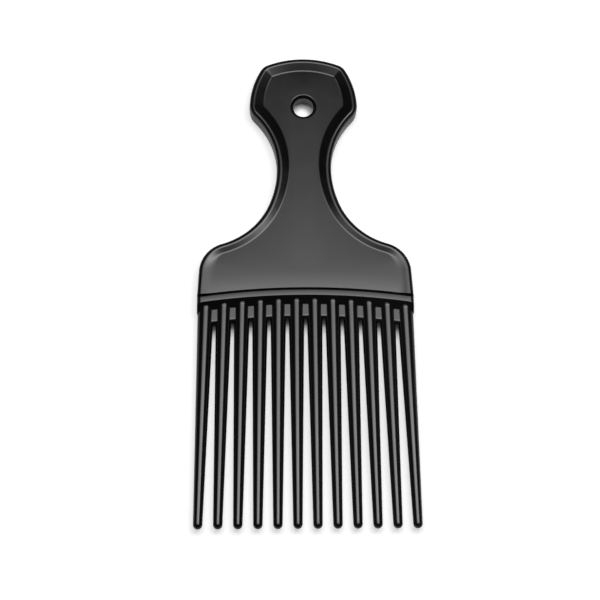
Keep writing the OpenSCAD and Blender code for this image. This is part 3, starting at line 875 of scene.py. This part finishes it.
class PICK_OT_stage(Operator):
    """Makes the pale table, the overhead softbox and the camera"""
    bl_idname = "pick.make_stage"
    bl_label = "Studio"

    TABLE_SIDES = 96
    # Distances over which the table brightens to white, and its reflection does
    LIFT_RUN = (0.12, 1.6)
    MIRROR_RUN = (0.1, 0.4)
    # Painted shade in reflections: what is left of the table's added light, as reflections see it,
    # close to the pick
    PAINTED_REFLECTED_SHADE = 0.1
    # Painted light and shade in the table's added light: a painted spot of light beside the hole's
    # middle, where light falls through it, with painted shade round it
    PAINTED_HOLE_LIGHT = (-0.6 * MM, -0.8 * MM)
    PAINTED_HOLE_LIGHT_RUN = (1.2 * MM, 3.9 * MM)
    PAINTED_HOLE_SHADE_R = 9 * MM
    # Painted shade in the table's added light under the webs starts inside their noses, fades along
    # the teeth and ends at the head's sides
    NOSE_INSET = 1 * MM
    NOSE_FADE = 6 * MM
    PAINTED_ROOTS_SHADE_R = 36 * MM
    SHADE_EDGE = 1 * MM

    # The softbox's edges over the table, in metres, and its levels as (place in metres, level)
    LEFT, RIGHT, FOOT, TOP = -0.50, 0.74, -0.45, 0.64
    ACROSS = ((LEFT, 0.04), (-0.40, 0.18), (-0.20, 0.48), (-0.12, 0.55), (-0.05, 0.56),
              (0.03, 0.56), (0.10, 0.57), (0.20, 0.62), (0.34, 0.68), (0.42, 0.64), (0.50, 0.33),
              (0.58, 0.07), (RIGHT, 0.02))
    ALONG = ((FOOT, 0.0), (-0.34, 0.04), (-0.25, 0.14), (-0.18, 0.30), (-0.10, 0.65),
             (-0.03, 1.25), (0.05, 1.85), (0.12, 2.10), (0.20, 1.75), (0.28, 1.20), (0.34, 0.90),
             (0.42, 0.52), (0.54, 0.20), (TOP, 0.02))

    SENSOR_WIDTH = 36
    CAMERA_REACH = 50

    def execute(self, context):
        scene = context.scene
        studio = scene.pick_studio
        self.make_table(scene, studio, Plan(scene.pick_sizes))
        self.make_softbox(scene, studio)
        self.make_world(scene, studio)
        self.make_camera(scene, studio)
        scene.view_settings.view_transform = "Standard"
        return {"FINISHED"}

    def make_table(self, scene, studio, plan):
        """A round white table, far wider than the photo's view."""
        bm = bmesh.new()
        bmesh.ops.create_circle(bm, cap_ends=True, radius=studio.table_r,
                                segments=self.TABLE_SIDES)
        mesh = bpy.data.meshes.new("table")
        bm.to_mesh(mesh)
        bm.free()
        mesh.materials.append(self.table_paint(studio, plan))
        table = bpy.data.objects.new("table", mesh)
        scene.collection.objects.link(table)

    def table_paint(self, studio, plan):
        """White paint, with the background's light on it for the camera and for reflections. Painted
        light and shade are cut into that light: a lit spot in the hole with shade round it, shade
        under the webs, and shade in reflections near the pick.
        """
        s = plan.s
        material = bpy.data.materials.new("table_white")
        shader = Wiring(material, "ShaderNodeOutputMaterial")
        paint = shader.node("ShaderNodeBsdfDiffuse")
        paint.inputs["Color"].default_value = (*studio.table_white, 1)
        glow = shader.node("ShaderNodeEmission")
        rays = shader.node("ShaderNodeLightPath").outputs
        place = shader.node("ShaderNodeTexCoord").outputs["Object"]

        def away(spot, low, high, bottom, top):
            """Runs from bottom to top between two distances from a spot on the table."""
            reach = shader.node("ShaderNodeVectorMath", operation="DISTANCE")
            shader.join(place, reach.inputs[0])
            reach.inputs[1].default_value = (*spot, 0)
            return shader.ramp(reach.outputs["Value"], low, high, bottom, top)

        # Painted light and shade: a lit spot where light falls through the hole, and painted shade
        # round it
        hole_y = plan.foot_y + s.handle_len - s.hole_drop
        light = (self.PAINTED_HOLE_LIGHT[0], hole_y + self.PAINTED_HOLE_LIGHT[1])
        hole = away(light, *self.PAINTED_HOLE_LIGHT_RUN, 1.0, studio.painted_shade_lift)
        # Painted shade under the webs, darkest inside their noses and fading along the teeth
        arc_y = plan.foot_y + plan.arc_h
        noses_r = plan.web_end_r - s.web_t / 2 + self.NOSE_INSET
        fade_r = noses_r - self.NOSE_FADE
        roots = away((0, arc_y), fade_r, noses_r, 1.0, studio.painted_shade_lift)
        lift = away((0, 0), *self.LIFT_RUN, studio.table_lift, 1.0)
        for shade, middle, reach in ((hole, hole_y, self.PAINTED_HOLE_SHADE_R),
                                     (roots, arc_y + fade_r, self.PAINTED_ROOTS_SHADE_R)):
            beyond = away((0, middle), reach - self.SHADE_EDGE, reach + self.SHADE_EDGE, 0.0, 1.0)
            lift = shader.maths("MULTIPLY", lift, shader.maths("MAXIMUM", shade, beyond))
        # Painted shade in reflections: near the pick, reflected rays see less of the table's added
        # light
        mirrored = shader.maths("MAXIMUM", rays["Is Glossy Ray"], rays["Is Transmission Ray"])
        mirrored = shader.maths("MULTIPLY", mirrored,
                                away((0, 0), *self.MIRROR_RUN, self.PAINTED_REFLECTED_SHADE, 1.0))
        seen = shader.maths("MAXIMUM", rays["Is Camera Ray"], mirrored)
        shader.join(shader.maths("MULTIPLY", seen, lift), glow.inputs["Strength"])
        both = shader.node("ShaderNodeAddShader")
        shader.join(paint.outputs[0], both.inputs[0])
        shader.join(glow.outputs[0], both.inputs[1])
        shader.join(both.outputs[0], shader.output.inputs["Surface"])
        return material

    def make_softbox(self, scene, studio):
        """One big softbox, brightest right of its middle, that fades towards every edge."""
        width, depth = self.RIGHT - self.LEFT, self.TOP - self.FOOT
        lamp = bpy.data.lights.new("softbox", "AREA")
        lamp.shape = "RECTANGLE"
        lamp.size = width
        lamp.size_y = depth
        # The power grows with the area, so the size doesn't change the brightness
        lamp.energy = math.pi * width * depth
        shader = Wiring(lamp, "ShaderNodeOutputLight")
        glow = shader.node("ShaderNodeEmission")
        shader.join(glow.outputs[0], shader.output.inputs[0])
        split = shader.node("ShaderNodeSeparateXYZ")
        shader.join(shader.node("ShaderNodeNewGeometry").outputs["Parametric"], split.inputs[0])
        brightest = max(level for _, level in self.ALONG)
        across = shader.curve(split.outputs["X"],
                              [((x - self.LEFT) / width, level) for x, level in self.ACROSS])
        along = shader.curve(split.outputs["Y"],
                             [((y - self.FOOT) / depth, level / brightest)
                              for y, level in self.ALONG])
        level = shader.maths("MULTIPLY", shader.maths("MULTIPLY", across, along),
                             studio.softbox_level)
        shader.join(level, glow.inputs["Strength"])
        softbox = bpy.data.objects.new("softbox", lamp)
        softbox.location = ((self.LEFT + self.RIGHT) / 2, (self.FOOT + self.TOP) / 2,
                            studio.softbox_height)
        softbox.visible_camera = False
        scene.collection.objects.link(softbox)

    def make_world(self, scene, studio):
        """A dark room round the pick, which the camera sees as white beyond the table."""
        world = bpy.data.worlds.new("studio_room")
        shader = Wiring(world, "ShaderNodeOutputWorld")
        background = shader.node("ShaderNodeBackground")
        background.inputs["Color"].default_value = (1, 1, 1, 1)
        seen = shader.node("ShaderNodeLightPath").outputs["Is Camera Ray"]
        shader.join(shader.maths("MAXIMUM", seen, studio.room_level), background.inputs["Strength"])
        shader.join(background.outputs[0], shader.output.inputs["Surface"])
        scene.world = world

    def make_camera(self, scene, studio):
        """The photo's camera: tilted towards the teeth, turned and rolled a little."""
        lens = bpy.data.cameras.new("camera")
        lens.sensor_width = self.SENSOR_WIDTH
        lens.lens = studio.lens
        lens.clip_end = self.CAMERA_REACH
        camera = bpy.data.objects.new("camera", lens)
        tilt, turn = studio.camera_tilt, studio.camera_turn
        toward = Vector((math.sin(tilt) * math.sin(turn), -math.sin(tilt) * math.cos(turn),
                         math.cos(tilt)))
        side = (-toward).cross(Vector((0, 1, 0))).normalized()
        up = side.cross(-toward)
        basis = Matrix((side, up, toward)).transposed() @ Matrix.Rotation(studio.camera_roll, 3, "Z")
        place = Matrix.Translation(Vector(studio.target) + toward * studio.camera_range)
        camera.matrix_world = place @ basis.to_4x4()
        scene.collection.objects.link(camera)
        scene.camera = camera


# Sidebar and registration


class PICK_PT_panel(Panel):
    """The pick's pieces and the studio, in the sidebar"""
    bl_idname = "PICK_PT_panel"
    bl_label = "Afro Pick"
    bl_space_type = "VIEW_3D"
    bl_region_type = "UI"
    bl_category = "Pick"

    def draw(self, context):
        for group in ("pick_sizes", "pick_finish", "pick_studio"):
            box = self.layout.box()
            settings = getattr(context.scene, group)
            for name in settings.__annotations__:
                box.prop(settings, name)
        for maker in MAKERS:
            self.layout.operator(maker.bl_idname)


GROUPS = {"pick_sizes": PickSizes, "pick_finish": PickFinish, "pick_studio": PickStudio}
MAKERS = (PICK_OT_handle, PICK_OT_root_bar, PICK_OT_teeth, PICK_OT_webs, PICK_OT_stage)


def register():
    for made in (*GROUPS.values(), *MAKERS, PICK_PT_panel):
        bpy.utils.register_class(made)
    for name, group in GROUPS.items():
        setattr(bpy.types.Scene, name, PointerProperty(type=group))


def unregister():
    for name in GROUPS:
        delattr(bpy.types.Scene, name)
    for made in reversed((*GROUPS.values(), *MAKERS, PICK_PT_panel)):
        bpy.utils.unregister_class(made)


def main():
    register()
    bpy.ops.pick.make_handle()
    bpy.ops.pick.make_root_bar()
    bpy.ops.pick.make_teeth()
    bpy.ops.pick.make_webs()
    bpy.ops.pick.make_stage()


if __name__ == "__main__":
    main()
